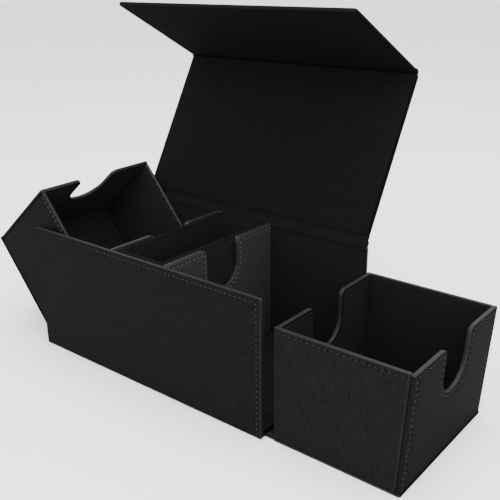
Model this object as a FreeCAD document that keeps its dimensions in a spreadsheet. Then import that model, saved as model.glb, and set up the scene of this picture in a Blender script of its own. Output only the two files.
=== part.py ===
import FreeCAD, Part
import os
import re
import Sketcher

# Playing card case: a stitched leatherette shell with a lid on a folding spine,
# a hanging front flap, two hinged card trays that are also the case's ends,
# and a lift-out inner box in the bay between two notched dividers.
# +X runs along the case, +Y to the back, +Z up. The origin is the centre of the underside.

doc = FreeCAD.newDocument("CardCase")
V = FreeCAD.Vector

DIMS = [
    ("case_length", 196.0, "outside length of the shell"),
    ("case_depth", 109.0, "outside depth of the shell"),
    ("case_height", 88.0, "height of the front wall and dividers"),
    ("back_height", 86.3, "height of the back wall, below the spine crease"),
    ("skin", 0.8, "outer leatherette"),
    ("lining", 0.4, "inner velvet on the walls"),
    ("wall_board", 1.8, "board of an upright wall"),
    ("floor_top", 3.0, "top of the floor board"),
    ("floor_lining", 0.6, "velvet on the floor"),
    ("divider_centre", 23.2, "divider mid plane from the case centre"),
    ("divider_thick", 3.4, "divider with cover and lining"),
    ("divider_skin", 0.6, "cover of a divider"),
    ("notch_radius", 14.5, "thumb notch half width and bottom radius"),
    ("notch_depth", 31.0, "thumb notch depth below the rim"),
    ("notch_round", 4.5, "rounding at the mouth of a notch"),
    ("tray_length", 81.0, "crease to outer end of a tray"),
    ("tray_start", 0.8, "crease to the inner end of a tray"),
    ("tray_width", 99.5, "outside width of a tray"),
    ("tray_height", 71.5, "outside height of a tray"),
    ("tray_wall", 3.0, "wall of a tray with cover and lining"),
    ("tray_board", 2.0, "base board of a tray"),
    ("tray_lip", 0.35, "base cover beyond the walls"),
    ("strip_length", 4.9, "crease to crease of a hinge strip"),
    ("strip_half", 0.5, "half the thickness of a hinge strip"),
    ("strip_width", 98.7, "width of a hinge strip"),
    ("left_tilt", 50.8, "left tray from lying flat, degrees"),
    ("spine_y", 54.1, "lower spine crease, from the centre"),
    ("spine_z", 87.5, "lower spine crease, from the underside"),
    ("spine_length", 4.8, "crease to crease of the spine"),
    ("spine_half", 0.9, "half the thickness of the spine"),
    ("spine_lean", 35.0, "spine lean back, degrees"),
    ("lid_angle", 119.0, "lid from closed, degrees"),
    ("lid_reach", 110.05, "crease to the front edge of the lid"),
    ("lid_gap", 1.3, "crease to the back edge of the lid"),
    ("lid_up", 1.4, "lid top above the crease, closed"),
    ("lid_down", 1.2, "lid board underside below the crease, closed"),
    ("flap_crease_y", 111.85, "spine crease to flap crease, along the lid"),
    ("flap_crease_z", 0.4, "spine crease to flap crease, across the lid"),
    ("flap_length", 87.7, "crease to the tip of the flap"),
    ("flap_fold", 91.0, "flap from lying flat with the lid, degrees"),
    ("flap_gap", 1.8, "crease to the root of the flap"),
    ("flap_out", 1.8, "flap outer face from the crease"),
    ("flap_in", 1.0, "flap board inner face from the crease"),
    ("flap_width", 193.4, "width of the flap"),
    ("crease_radius", 1.0, "rolled crease between lid and flap"),
    ("magnet_length", 20.0, "magnet bar length"),
    ("magnet_width", 8.0, "magnet bar width"),
    ("magnet_thick", 1.2, "magnet bar thickness"),
    ("magnet_x", 45.0, "magnet bar from the centre"),
    ("magnet_z", 16.0, "magnet bar height above the underside"),
    ("drawer_width", 42.0, "inner box outside, along the case"),
    ("drawer_depth", 102.0, "inner box outside, front to back"),
    ("drawer_base", 3.7, "underside of the inner box"),
    ("drawer_skin", 0.6, "outer microfibre of the inner box"),
    ("drawer_board", 2.0, "board of the inner box"),
    ("drawer_pad", 2.0, "padded lining of the inner box"),
    ("corner_round", 1.2, "rounded board corners"),
]
sheet = doc.addObject("Spreadsheet::Sheet", "Dims")
for row, (alias, value, note) in enumerate(DIMS, start=1):
    sheet.set("A%d" % row, note)
    sheet.set("B%d" % row, str(value))
    sheet.setAlias("B%d" % row, alias)
doc.recompute()

NAMES = {alias for alias, value, note in DIMS}
VALUE = {alias: value for alias, value, note in DIMS}
NODES = []


def ex(text):
    """A sheet expression: every alias gets the sheet's name."""
    return re.sub(r"[a-z_]+", lambda w: "Dims." + w.group(0) if w.group(0) in NAMES else w.group(0), str(text))


def at(obj, x, y, z):
    for axis, text in (("x", x), ("y", y), ("z", z)):
        obj.setExpression("Placement.Base." + axis, ex(text))
    return obj


def box(name, x, y, z):
    """A box between pairs of sheet expressions."""
    o = doc.addObject("Part::Box", name)
    o.setExpression("Length", ex("(%s) - (%s)" % (x[1], x[0])))
    o.setExpression("Width", ex("(%s) - (%s)" % (y[1], y[0])))
    o.setExpression("Height", ex("(%s) - (%s)" % (z[1], z[0])))
    return at(o, x[0], y[0], z[0])


def rod(name, x, y, z, radius):
    """A cylinder along X."""
    o = doc.addObject("Part::Cylinder", name)
    o.Placement = FreeCAD.Placement(V(0, 0, 0), FreeCAD.Rotation(V(0, 1, 0), 90))
    o.setExpression("Radius", ex(radius))
    o.setExpression("Height", ex("(%s) - (%s)" % (x[1], x[0])))
    return at(o, x[0], y, z)


def fuse(name, *shapes):
    o = doc.addObject("Part::MultiFuse", name)
    o.Shapes = list(shapes)
    o.Refine = True
    return o


def cut(name, base, tool):
    o = doc.addObject("Part::Cut", name)
    o.Base = base
    o.Tool = tool
    o.Refine = True
    return o


def node(label, obj):
    obj.Label = label
    NODES.append(obj)
    return obj


def notch(name, x, top, grow="0"):
    """The tool for a thumb notch: straight sides, round bottom, rounded mouth, cut along X."""
    r = "(notch_radius + %s)" % grow
    bottom = "((%s) - notch_depth + notch_radius)" % top
    m = "(notch_round - %s)" % grow
    shaft = box(name + "_shaft", x, ("-" + r, r), (bottom, "(%s) + 2" % top))
    bowl = rod(name + "_bowl", x, "0", bottom, r)
    mouth = box(name + "_mouth", x, ("-%s - %s" % (r, m), "%s + %s" % (r, m)), ("(%s) - %s" % (top, m), "(%s) + 2" % top))
    left = rod(name + "_left", ("(%s) - 1" % x[0], "(%s) + 1" % x[1]), "-%s - %s" % (r, m), "(%s) - %s" % (top, m), m)
    right = rod(name + "_right", ("(%s) - 1" % x[0], "(%s) + 1" % x[1]), "%s + %s" % (r, m), "(%s) - %s" % (top, m), m)
    flare = cut(name + "_flare", mouth, fuse(name + "_rounds", left, right))
    return fuse(name + "_tool", shaft, bowl, flare)


def plate(label, size, centre, low, rounded=False):
    """A board as a PartDesign body: a centred rectangle, padded up, with rounded corners."""
    body = doc.addObject("PartDesign::Body", label + "_body")
    plane = [f for f in body.Origin.OriginFeatures if f.Role == "XY_Plane"][0]
    sk = body.newObject("Sketcher::SketchObject", label + "_sketch")
    sk.AttachmentSupport = [(plane, "")]
    sk.MapMode = "FlatFace"
    a, b = 10.0, 8.0
    pts = [V(-a, -b, 0), V(a, -b, 0), V(a, b, 0), V(-a, b, 0)]
    for i in range(4):
        sk.addGeometry(Part.LineSegment(pts[i], pts[(i + 1) % 4]), False)
    for i in range(4):
        sk.addConstraint(Sketcher.Constraint("Coincident", i, 2, (i + 1) % 4, 1))
    sk.addConstraint(Sketcher.Constraint("Horizontal", 0))
    sk.addConstraint(Sketcher.Constraint("Horizontal", 2))
    sk.addConstraint(Sketcher.Constraint("Vertical", 1))
    sk.addConstraint(Sketcher.Constraint("Vertical", 3))
    sk.addConstraint(Sketcher.Constraint("Symmetric", 0, 1, 2, 1, -1, 1))
    w = sk.addConstraint(Sketcher.Constraint("DistanceX", 0, 1, 0, 2, 2 * a))
    sk.renameConstraint(w, "width")
    d = sk.addConstraint(Sketcher.Constraint("DistanceY", 1, 1, 1, 2, 2 * b))
    sk.renameConstraint(d, "depth")
    sk.setExpression("Constraints.width", ex(size[0]))
    sk.setExpression("Constraints.depth", ex(size[1]))
    pad = body.newObject("PartDesign::Pad", label + "_pad")
    pad.Profile = sk
    pad.setExpression("Length", ex(size[2]))
    doc.recompute()
    if rounded:
        edges = []
        for i, e in enumerate(pad.Shape.Edges, start=1):
            p, q = e.Vertexes[0].Point, e.Vertexes[-1].Point
            if abs(p.x - q.x) < 1e-6 and abs(p.y - q.y) < 1e-6:
                edges.append("Edge%d" % i)
        fil = body.newObject("PartDesign::Fillet", label + "_corners")
        fil.Base = (pad, edges)
        fil.setExpression("Radius", ex("corner_round"))
        body.Tip = fil
    at(body, centre[0], centre[1], low)
    return body


def pocket(body, label, size, centre, depth):
    """A rectangular pocket cut down from the top of a plate."""
    base = body.Tip
    doc.recompute()
    before = base.Shape.Volume
    plane = [f for f in body.Origin.OriginFeatures if f.Role == "XY_Plane"][0]
    for k, cx in enumerate(centre):
        sk = body.newObject("Sketcher::SketchObject", "%s_sketch%d" % (label, k))
        sk.AttachmentSupport = [(plane, "")]
        sk.MapMode = "FlatFace"
        sk.AttachmentOffset = FreeCAD.Placement(V(0, 0, 0), FreeCAD.Rotation())
        sk.setExpression("AttachmentOffset.Base.x", ex(cx[0]))
        sk.setExpression("AttachmentOffset.Base.y", ex(cx[1]))
        sk.setExpression("AttachmentOffset.Base.z", ex(cx[2]))
        a, b = 5.0, 4.0
        pts = [V(-a, -b, 0), V(a, -b, 0), V(a, b, 0), V(-a, b, 0)]
        for i in range(4):
            sk.addGeometry(Part.LineSegment(pts[i], pts[(i + 1) % 4]), False)
        for i in range(4):
            sk.addConstraint(Sketcher.Constraint("Coincident", i, 2, (i + 1) % 4, 1))
        sk.addConstraint(Sketcher.Constraint("Horizontal", 0))
        sk.addConstraint(Sketcher.Constraint("Horizontal", 2))
        sk.addConstraint(Sketcher.Constraint("Vertical", 1))
        sk.addConstraint(Sketcher.Constraint("Vertical", 3))
        sk.addConstraint(Sketcher.Constraint("Symmetric", 0, 1, 2, 1, -1, 1))
        w = sk.addConstraint(Sketcher.Constraint("DistanceX", 0, 1, 0, 2, 2 * a))
        sk.renameConstraint(w, "width")
        d = sk.addConstraint(Sketcher.Constraint("DistanceY", 1, 1, 1, 2, 2 * b))
        sk.renameConstraint(d, "depth")
        sk.setExpression("Constraints.width", ex(size[0]))
        sk.setExpression("Constraints.depth", ex(size[1]))
        pk = body.newObject("PartDesign::Pocket", "%s_cut%d" % (label, k))
        pk.Profile = sk
        pk.setExpression("Length", ex(depth))
        doc.recompute()
    if not body.Tip.Shape.Volume < before - 1:
        raise RuntimeError("pocket cut nothing: " + label)
    return body


# ---------------------------------------------------------------- case shell
FULL = ("-case_length/2", "case_length/2")
CORE = ("-case_length/2 + skin", "case_length/2 - skin")
FLOOR = ("-case_length/2 + 2*skin", "case_length/2 - 2*skin")
INNER = ("-case_depth/2 + skin + wall_board + lining", "case_depth/2 - skin - wall_board - lining")
FLOOR_TOP = "floor_top + floor_lining"

under = box("under_plate", CORE, ("-case_depth/2 + skin", "case_depth/2 - skin"), ("0", "skin"))
lip_l = box("under_lip_left", (CORE[0], FLOOR[0]), INNER, ("skin", FLOOR_TOP))
lip_r = box("under_lip_right", (FLOOR[1], CORE[1]), INNER, ("skin", FLOOR_TOP))
node("case_underside_cover", fuse("underside_cover", under, lip_l, lip_r))
node("case_floor_board", plate("floor_board", ("case_length - 4*skin", "case_depth - 2*(skin + wall_board + lining)", "floor_top - skin"), ("0", "0"), "skin"))
node("case_floor_lining", box("floor_velvet", FLOOR, INNER, ("floor_top", FLOOR_TOP)))


def magnets(name, y, z):
    a = box(name + "_a", ("-magnet_x - magnet_length/2", "-magnet_x + magnet_length/2"), y, z)
    b = box(name + "_b", ("magnet_x - magnet_length/2", "magnet_x + magnet_length/2"), y, z)
    return fuse(name, a, b)


def wall(side, height):
    """Front (-1) or back (+1) wall: board, cover over the outside, rim and ends, velvet inside."""
    top = "%s - skin" % height
    out, mid, inn, face = "case_depth/2", "case_depth/2 - skin", "case_depth/2 - skin - wall_board", INNER[1]

    def span(a, b):
        return (a, b) if side > 0 else ("-(%s)" % b, "-(%s)" % a)
    tag = "back" if side > 0 else "front"
    board = box(tag + "_board", CORE, span(inn, mid), ("skin", top))
    shell = box(tag + "_shell", FULL, span(face, out), ("0", height))
    hole = box(tag + "_hole", CORE, span("(%s) - 2" % face, mid), ("-1", top))
    cover = cut(tag + "_cover", shell, hole)
    velvet = box(tag + "_velvet", CORE, span(face, inn), ("skin", top))
    return board, cover, velvet


board, cover, velvet = wall(-1, "case_height")
zmag = ("magnet_z - magnet_width/2", "magnet_z + magnet_width/2")
ymag = ("-case_depth/2 + skin", "-case_depth/2 + skin + magnet_thick")
node("front_wall_board", cut("front_board_cut", board, magnets("front_magnet_pockets", ymag, zmag)))
node("front_wall_magnets", magnets("front_magnets", ymag, zmag))
node("front_wall_cover", cover)
node("front_wall_lining", velvet)
board, cover, velvet = wall(1, "back_height")
node("back_wall_board", board)
node("back_wall_cover", cover)
node("back_wall_lining", velvet)


# ---------------------------------------------------------------- dividers
def divider(tag, side):
    """A notched upright between the walls; its cover faces the tray, its velvet the middle bay."""
    near = "divider_centre - divider_thick/2"
    far = "divider_centre + divider_thick/2"

    def span(a, b):
        return (a, b) if side > 0 else ("-(%s)" % b, "-(%s)" % a)
    top = "case_height - divider_skin"
    wide = span("(%s) - 3" % near, "(%s) + 3" % far)
    small = notch(tag + "_notch", wide, "case_height")
    shell = cut(tag + "_shell", box(tag + "_block", span(near, far), INNER, (FLOOR_TOP, "case_height")), small)
    core = cut(tag + "_core", box(tag + "_core_block", span("(%s) - 1" % near, "(%s) - divider_skin" % far),
                                  ("(%s) - 1" % INNER[0], "(%s) + 1" % INNER[1]), ("0", top)),
               notch(tag + "_core_notch", wide, "case_height", "divider_skin"))
    node(tag + "_divider_cover", cut(tag + "_skin", shell, core))
    for part, a, b in (("board", "(%s) + lining" % near, "(%s) - divider_skin" % far), ("lining", near, "(%s) + lining" % near)):
        block = box("%s_%s_block" % (tag, part), span(a, b), INNER, (FLOOR_TOP, top))
        tool = notch("%s_%s_notch" % (tag, part), wide, "case_height", "divider_skin")
        node("%s_divider_%s" % (tag, part), cut("%s_%s_plate" % (tag, part), block, tool))


divider("left", -1)
divider("right", 1)

# ---------------------------------------------------------------- lift-out inner box
DX, DY = "drawer_width/2", "drawer_depth/2"


def ring(name, inset, low, high):
    return box(name, ("-%s + (%s)" % (DX, inset), "%s - (%s)" % (DX, inset)), ("-%s + (%s)" % (DY, inset), "%s - (%s)" % (DY, inset)), (low, high))


wall_in = "drawer_skin + drawer_board + drawer_pad"
outer = ring("inner_box_block", "0", "drawer_base", "case_height")
core = ring("inner_box_core", "drawer_skin", "drawer_base + drawer_skin", "case_height - drawer_skin")
mouth = ring("inner_box_mouth", wall_in, "case_height - 3", "case_height + 1")
node("drawer_cover", cut("inner_box_skin", outer, fuse("inner_box_void", core, mouth)))
body = plate("inner_box", ("drawer_width - 2*drawer_skin", "drawer_depth - 2*drawer_skin", "case_height - drawer_base - 2*drawer_skin"),
             ("0", "0"), "drawer_base + drawer_skin")
pocket(body, "inner_box_well", ("drawer_width - 2*drawer_skin - 2*drawer_board", "drawer_depth - 2*drawer_skin - 2*drawer_board"),
       [("0", "0", "case_height - drawer_base - 2*drawer_skin")], "case_height - drawer_base - 2*drawer_skin - drawer_board")
node("drawer_box", body)
pad_out = ring("inner_pad_block", "drawer_skin + drawer_board", "drawer_base + drawer_skin + drawer_board", "case_height - drawer_skin")
pad_in = ring("inner_pad_hollow", wall_in, "drawer_base + drawer_skin + drawer_board + drawer_pad", "case_height + 1")
node("drawer_lining", cut("inner_pad", pad_out, pad_in))


# ---------------------------------------------------------------- card trays
def tray(tag):
    """A card tray about its crease: +X outward, open at the top, both end walls notched."""
    x0, x1 = "tray_start", "tray_length"
    low = "-strip_half"
    b0 = "skin - strip_half"
    top = "tray_height - strip_half"
    yo = "tray_width/2"
    ym = "(tray_width/2 - skin)"
    yl = "(tray_width/2 - tray_wall + lining)"
    yi = "(tray_width/2 - tray_wall)"
    floor = "skin - strip_half + tray_board"
    parts = []

    def keep(label, obj):
        parts.append(node(tag + "_tray_" + label, obj))

    keep("base_cover", box(tag + "_t_base_skin", (x0, "%s + tray_lip" % x1), ("-%s - tray_lip" % yo, "%s + tray_lip" % yo), (low, b0)))
    keep("base_board", box(tag + "_t_base", ("%s + tray_wall - lining" % x0, "%s - tray_wall + lining" % x1), ("-" + yl, yl), (b0, floor)))
    for name, s in (("front", -1), ("back", 1)):
        def span(a, b, s=s):
            return (a, b) if s > 0 else ("-(%s)" % b, "-(%s)" % a)
        long = ("%s + tray_wall" % x0, "%s - tray_wall" % x1)
        keep(name + "_wall", box("%s_t_%s" % (tag, name), long, span(yl, ym), (b0, "%s - skin" % top)))
        shell = box("%s_t_%s_shell" % (tag, name), long, span(yi, yo), (b0, top))
        hole = box("%s_t_%s_hole" % (tag, name), ("%s + tray_wall - 1" % x0, "%s - tray_wall + 1" % x1), span("%s - 1" % yi, ym), ("-2", "%s - skin" % top))
        keep(name + "_cover", cut("%s_t_%s_skin" % (tag, name), shell, hole))
    for name, a, s in (("inner_end", x0, 1), ("outer_end", x1, -1)):
        def along(p, q, a=a, s=s):
            return ("%s + (%s)" % (a, p), "%s + (%s)" % (a, q)) if s > 0 else ("%s - (%s)" % (a, q), "%s - (%s)" % (a, p))
        wide = along("-2", "tray_wall + 2")
        board = box("%s_t_%s" % (tag, name), along("skin", "tray_wall - lining"), ("-" + ym, ym), (b0, "%s - skin" % top))
        keep(name + "_wall", cut("%s_t_%s_plate" % (tag, name), board, notch("%s_t_%s_n1" % (tag, name), wide, top, "skin")))
        block = box("%s_t_%s_block" % (tag, name), along("0", "tray_wall"), ("-" + yo, yo), (b0, top))
        shell = cut("%s_t_%s_shell" % (tag, name), block, notch("%s_t_%s_n2" % (tag, name), wide, top))
        slab = box("%s_t_%s_slab" % (tag, name), along("skin", "tray_wall - lining"), ("-" + ym, ym), ("-2", "%s - skin" % top))
        velvet = box("%s_t_%s_room" % (tag, name), along("tray_wall - lining", "tray_wall + 1"), ("-" + yl, yl), ("-2", "%s - skin" % top))
        core = cut("%s_t_%s_core" % (tag, name), fuse("%s_t_%s_in" % (tag, name), slab, velvet), notch("%s_t_%s_n3" % (tag, name), wide, top, "skin"))
        keep(name + "_cover", cut("%s_t_%s_skin" % (tag, name), shell, core))
    room = ("%s + tray_wall - lining" % x0, "%s - tray_wall + lining" % x1)
    block = box(tag + "_t_velvet", room, ("-" + yl, yl), (floor, "%s - skin" % top))
    well = box(tag + "_t_well", ("%s + tray_wall" % x0, "%s - tray_wall" % x1), ("-" + yi, yi), ("%s + lining" % floor, "%s + 2" % top))
    n = notch(tag + "_t_velvet_notch", ("-2", "%s + 2" % x1), top, "skin")
    keep("lining", cut(tag + "_t_pad", block, fuse(tag + "_t_void", well, n)))
    return parts


def strip(name, x_end, lay=False):
    """A hinge strip about its lower crease, upright or lying outward, with rolled edges."""
    w = "strip_width/2"
    o = doc.addObject("Part::Box", name + "_web")
    rolls = []
    if lay:
        o.setExpression("Length", ex(x_end))
        o.setExpression("Width", ex("strip_width"))
        o.setExpression("Height", ex("2*strip_half"))
        at(o, "0", "-" + w, "-strip_half")
        ends = [("0", "0")]
    else:
        o.setExpression("Length", ex("2*strip_half"))
        o.setExpression("Width", ex("strip_width"))
        o.setExpression("Height", ex("strip_length"))
        at(o, "-strip_half", "-" + w, "0")
        ends = [("0", "0"), ("0", "strip_length")]
    for k, (x, z) in enumerate(ends):
        c = doc.addObject("Part::Cylinder", "%s_roll%d" % (name, k))
        c.Placement = FreeCAD.Placement(V(0, 0, 0), FreeCAD.Rotation(V(1, 0, 0), -90))
        c.setExpression("Radius", ex("strip_half"))
        c.setExpression("Height", ex("strip_width"))
        at(c, x, "-" + w, z)
        rolls.append(c)
    return fuse(name, o, *rolls)


def turned(o, rot, x, y, z):
    """Carry a node from its own frame to its crease in the case."""
    o.Placement = FreeCAD.Placement(V(0, 0, 0), rot)
    at(o, x, y, z)


def carried(o, rot, x, y, z):
    if o.TypeId in ("Part::Box", "Part::Cylinder"):
        raise RuntimeError("carry a boolean, not a primitive: " + o.Label)
    turned(o, rot, x, y, z)


def wrap_primitive(o):
    """A Part::Compound around a primitive, so that the node can be turned as one."""
    c = doc.addObject("Part::Compound", o.Name + "_piece")
    c.Links = [o]
    label = o.Label
    o.Label = o.Name + "_raw"
    c.Label = label
    NODES[NODES.index(o)] = c
    return c


FLAT = FreeCAD.Rotation()
RIGHT = [wrap_primitive(o) if o.TypeId == "Part::Box" else o for o in tray("right")]
for o in RIGHT:
    carried(o, FLAT, "case_length/2 + strip_length", "0", "strip_half")
right_strip = node("right_hinge_strip", strip("right_strip", "strip_length + tray_start", lay=True))
at(right_strip, "case_length/2", "0", "strip_half")

TILT = FreeCAD.Rotation(V(0, 1, 0), VALUE["left_tilt"]).multiply(FreeCAD.Rotation(V(0, 0, 1), 180))
LEFT = [wrap_primitive(o) if o.TypeId == "Part::Box" else o for o in tray("left")]
for o in LEFT:
    carried(o, TILT, "-case_length/2", "0", "strip_half + strip_length")
left_strip = node("left_hinge_strip", strip("left_strip", ""))
at(left_strip, "-case_length/2", "0", "strip_half")

# ---------------------------------------------------------------- spine, lid and flap
LEAN = FreeCAD.Rotation(V(1, 0, 0), -VALUE["spine_lean"])
OPEN = FreeCAD.Rotation(V(1, 0, 0), -VALUE["lid_angle"])
FOLD = FreeCAD.Rotation(V(1, 0, 0), -VALUE["lid_angle"] + VALUE["flap_fold"] - 90)
SPINE_X = ("-case_length/2 + 0.4", "case_length/2 - 0.4")
web = box("spine_web", SPINE_X, ("spine_half - skin", "spine_half"), ("0", "spine_length"))
low_roll = rod("spine_roll_low", SPINE_X, "0", "0", "spine_half")
top_roll = rod("spine_roll_top", SPINE_X, "0", "spine_length", "spine_half")
spine_cover = node("spine_cover", fuse("spine_skin", web, low_roll, top_roll))
spine_board = wrap_primitive(node("spine_board", box("spine_core", SPINE_X, ("-spine_half", "spine_half - skin"), ("spine_half", "spine_length - spine_half"))))
for o in (spine_cover, spine_board):
    turned(o, LEAN, "0", "spine_y", "spine_z")

A2 = ("spine_y + spine_length*sin(spine_lean*1deg)", "spine_z + spine_length*cos(spine_lean*1deg)")
LX = ("-case_length/2 + skin", "case_length/2 - skin")
ly = ("-lid_reach + skin", "-lid_gap - skin")
lid_block = box("lid_block", FULL, ("-lid_reach", "-lid_gap"), ("-lid_down", "lid_up"))
lid_hole = box("lid_hole", LX, ly, ("-lid_down - 1", "lid_up - skin"))
lid = [node("lid_cover", cut("lid_skin", lid_block, lid_hole))]
lid.append(wrap_primitive(node("lid_board", box("lid_core", LX, ly, ("-lid_down", "lid_up - skin")))))
lid.append(wrap_primitive(node("lid_lining", box("lid_velvet", LX, ly, ("-lid_down - lining", "-lid_down")))))
FX = ("-flap_width/2", "flap_width/2")
roll = rod("flap_roll", FX, "-flap_crease_y", "-flap_crease_z", "crease_radius")
tab = box("flap_web", FX, ("-flap_crease_y", "-lid_reach"), ("-flap_crease_z - 0.4", "-flap_crease_z + 0.4"))
lid.append(node("flap_hinge_strip", fuse("flap_strip", roll, tab)))
for o in lid:
    turned(o, OPEN, "0", A2[0], A2[1])

FX2 = ("-flap_width/2 + skin", "flap_width/2 - skin")
fz = ("-flap_length + skin", "-flap_gap - skin")
fy = ("-flap_out + skin", "flap_in")
flap_block = box("flap_block", FX, ("-flap_out", "flap_in"), ("-flap_length", "-flap_gap"))
flap_hole = box("flap_hole", FX2, (fy[0], "flap_in + 1"), fz)
flap = [node("flap_cover", cut("flap_skin", flap_block, flap_hole))]
MZ = "(magnet_z - spine_z - spine_length + flap_crease_z)"
zmag = ("%s - magnet_width/2" % MZ, "%s + magnet_width/2" % MZ)
ymag = (fy[0], "%s + magnet_thick" % fy[0])
flap_core = box("flap_core", FX2, fy, fz)
flap.append(node("flap_board", cut("flap_core_cut", flap_core, magnets("flap_magnet_pockets", ymag, zmag))))
flap.append(node("flap_magnets", magnets("flap_magnet_bars", ymag, zmag)))
flap.append(wrap_primitive(node("flap_lining", box("flap_velvet", FX2, ("flap_in", "flap_in + lining"), fz))))
ca, sa = "cos(lid_angle*1deg)", "sin(lid_angle*1deg)"
for o in flap:
    turned(o, FOLD, "0", "%s - flap_crease_y*%s - flap_crease_z*%s" % (A2[0], ca, sa),
           "%s + flap_crease_y*%s - flap_crease_z*%s" % (A2[1], sa, ca))

# ---------------------------------------------------------------- checks and files
doc.recompute()
for o in doc.Objects:
    if "Invalid" in o.State or "Error" in o.State:
        raise RuntimeError("%s (%s) failed: %s" % (o.Label, o.TypeId, o.State))
labels = [o.Label for o in NODES]
if len(labels) != len(set(labels)):
    raise RuntimeError("two nodes share a name")
for o in NODES:
    if o.Shape.isNull() or not o.Shape.isValid() or o.Shape.Volume <= 0 or not o.Shape.Solids:
        raise RuntimeError("bad shape: " + o.Label)

os.makedirs("parts", exist_ok=True)
for o in NODES:
    o.Shape.exportStep(os.path.join("parts", o.Label + ".step"))
print(len(NODES), "nodes")
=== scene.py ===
import bpy, math
import numpy as np
from mathutils import Matrix, Vector, noise
from mathutils.geometry import delaunay_2d_cdt


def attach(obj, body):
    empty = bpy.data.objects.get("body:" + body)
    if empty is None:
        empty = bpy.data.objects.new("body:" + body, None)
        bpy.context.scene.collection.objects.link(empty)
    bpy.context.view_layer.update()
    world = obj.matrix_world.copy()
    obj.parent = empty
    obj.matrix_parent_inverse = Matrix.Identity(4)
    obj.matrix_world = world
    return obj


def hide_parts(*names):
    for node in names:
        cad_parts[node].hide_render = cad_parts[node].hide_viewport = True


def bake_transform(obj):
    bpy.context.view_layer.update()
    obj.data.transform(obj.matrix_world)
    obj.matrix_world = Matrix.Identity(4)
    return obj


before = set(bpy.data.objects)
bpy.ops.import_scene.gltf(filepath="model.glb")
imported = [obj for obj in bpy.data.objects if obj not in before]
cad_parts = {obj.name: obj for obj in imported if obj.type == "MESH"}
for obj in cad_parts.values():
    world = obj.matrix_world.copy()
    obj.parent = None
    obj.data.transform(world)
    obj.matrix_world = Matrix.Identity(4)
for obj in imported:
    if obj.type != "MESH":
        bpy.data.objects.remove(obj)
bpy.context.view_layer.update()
MM = 0.001


# ------------------------------------------------------------ frames of the moving pieces, in mm
def T(x, y, z):
    m = np.eye(4); m[:3, 3] = (x, y, z); return m


def R(axis, deg):
    return np.array(Matrix.Rotation(math.radians(deg), 4, axis))


def axes(a, b, c, o=(0, 0, 0)):
    """Panel plane: a to the right, b up, c out of the face, from point o."""
    m = np.eye(4)
    m[:3, 0], m[:3, 1], m[:3, 2], m[:3, 3] = a, b, c, o
    return m


X, Y, Z = np.array([1., 0, 0]), np.array([0, 1., 0]), np.array([0, 0, 1.])
LEAN, OPEN, FOLD, TILT, SP = 35.0, 119.0, 91.0, 50.8, 4.8
A1 = (0, 54.1, 87.5)
A2 = (0, 54.1 + SP * math.sin(math.radians(LEAN)), 87.5 + SP * math.cos(math.radians(LEAN)))
CASE = np.eye(4)
RIGHT = T(102.9, 0, 0.5)
LEFT = T(-98, 0, 5.4) @ R("Y", TILT) @ R("Z", 180)
SPINE = T(*A1) @ R("X", -LEAN)
LID = T(*A2) @ R("X", -OPEN)
FLAP = LID @ T(0, -111.85, -0.4) @ R("X", FOLD - 90)


# ------------------------------------------------------------ outlines
def rounded(points, closed=True, step=2.0):
    """A polyline through (x, y, radius) corners with true arcs, sampled evenly."""
    n = len(points)
    out = []
    for i in range(n):
        x, y, r = points[i]
        if (not closed and i in (0, n - 1)) or r <= 0:
            out.append((x, y)); continue
        p, q, s = np.array([x, y]), np.array(points[i - 1][:2]), np.array(points[(i + 1) % n][:2])
        u, v = (q - p) / np.linalg.norm(q - p), (s - p) / np.linalg.norm(s - p)
        half = math.acos(max(-1, min(1, float(u @ v)))) / 2
        if half > math.pi / 2 - 1e-3:
            out.append((x, y)); continue
        tan = r / math.tan(half)
        cen = p + (u + v) / np.linalg.norm(u + v) * r / math.sin(half)
        a, b = p + u * tan, p + v * tan
        t0, t1 = math.atan2(*(a - cen)[::-1]), math.atan2(*(b - cen)[::-1])
        d = (t1 - t0 + math.pi) % (2 * math.pi) - math.pi
        k = max(3, int(abs(d) * r / min(step, 1.2)) + 2, int(abs(d) / 0.35) + 1)
        for j in range(k + 1):
            t = t0 + d * j / k
            out.append((cen[0] + r * math.cos(t), cen[1] + r * math.sin(t)))
    res = []
    m = len(out)
    for i in range(m if closed else m - 1):
        a, b = np.array(out[i]), np.array(out[(i + 1) % m])
        length = float(np.linalg.norm(b - a))
        if length < 1e-4:
            continue
        k = max(1, int(math.ceil(length / step)))
        for j in range(k):
            res.append(a + (b - a) * j / k)
    if not closed:
        res.append(np.array(out[-1]))
    return np.array(res)


def segdist(pts, line, closed):
    a = line if closed else line[:-1]
    b = np.roll(line, -1, axis=0) if closed else line[1:]
    ab = b - a
    best = np.full(len(pts), 1e9)
    for i in range(0, len(pts), 800):
        p = pts[i:i + 800, None, :]
        t = np.clip(((p - a) * ab).sum(-1) / np.maximum((ab * ab).sum(-1), 1e-12), 0, 1)
        best[i:i + 800] = np.sqrt((((a + t[..., None] * ab) - p) ** 2).sum(-1)).min(1)
    return best


def inside(pts, poly):
    x, y = pts[:, 0], pts[:, 1]
    c = np.zeros(len(pts), bool)
    for (x0, y0), (x1, y1) in zip(poly, np.roll(poly, -1, axis=0)):
        if y0 != y1:
            c ^= ((y0 > y) != (y1 > y)) & (x < (x1 - x0) * (y - y0) / (y1 - y0) + x0)
    return c


def inset_points(line, closed, dist, side=1):
    t = np.roll(line, -1, axis=0) - np.roll(line, 1, axis=0) if closed else np.gradient(line, axis=0)
    t = t / np.maximum(np.linalg.norm(t, axis=1, keepdims=True), 1e-9)
    return line + side * dist * np.stack([-t[:, 1], t[:, 0]], 1)


# ------------------------------------------------------------ wrapped panels
PANEL_CACHE = {}


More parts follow.
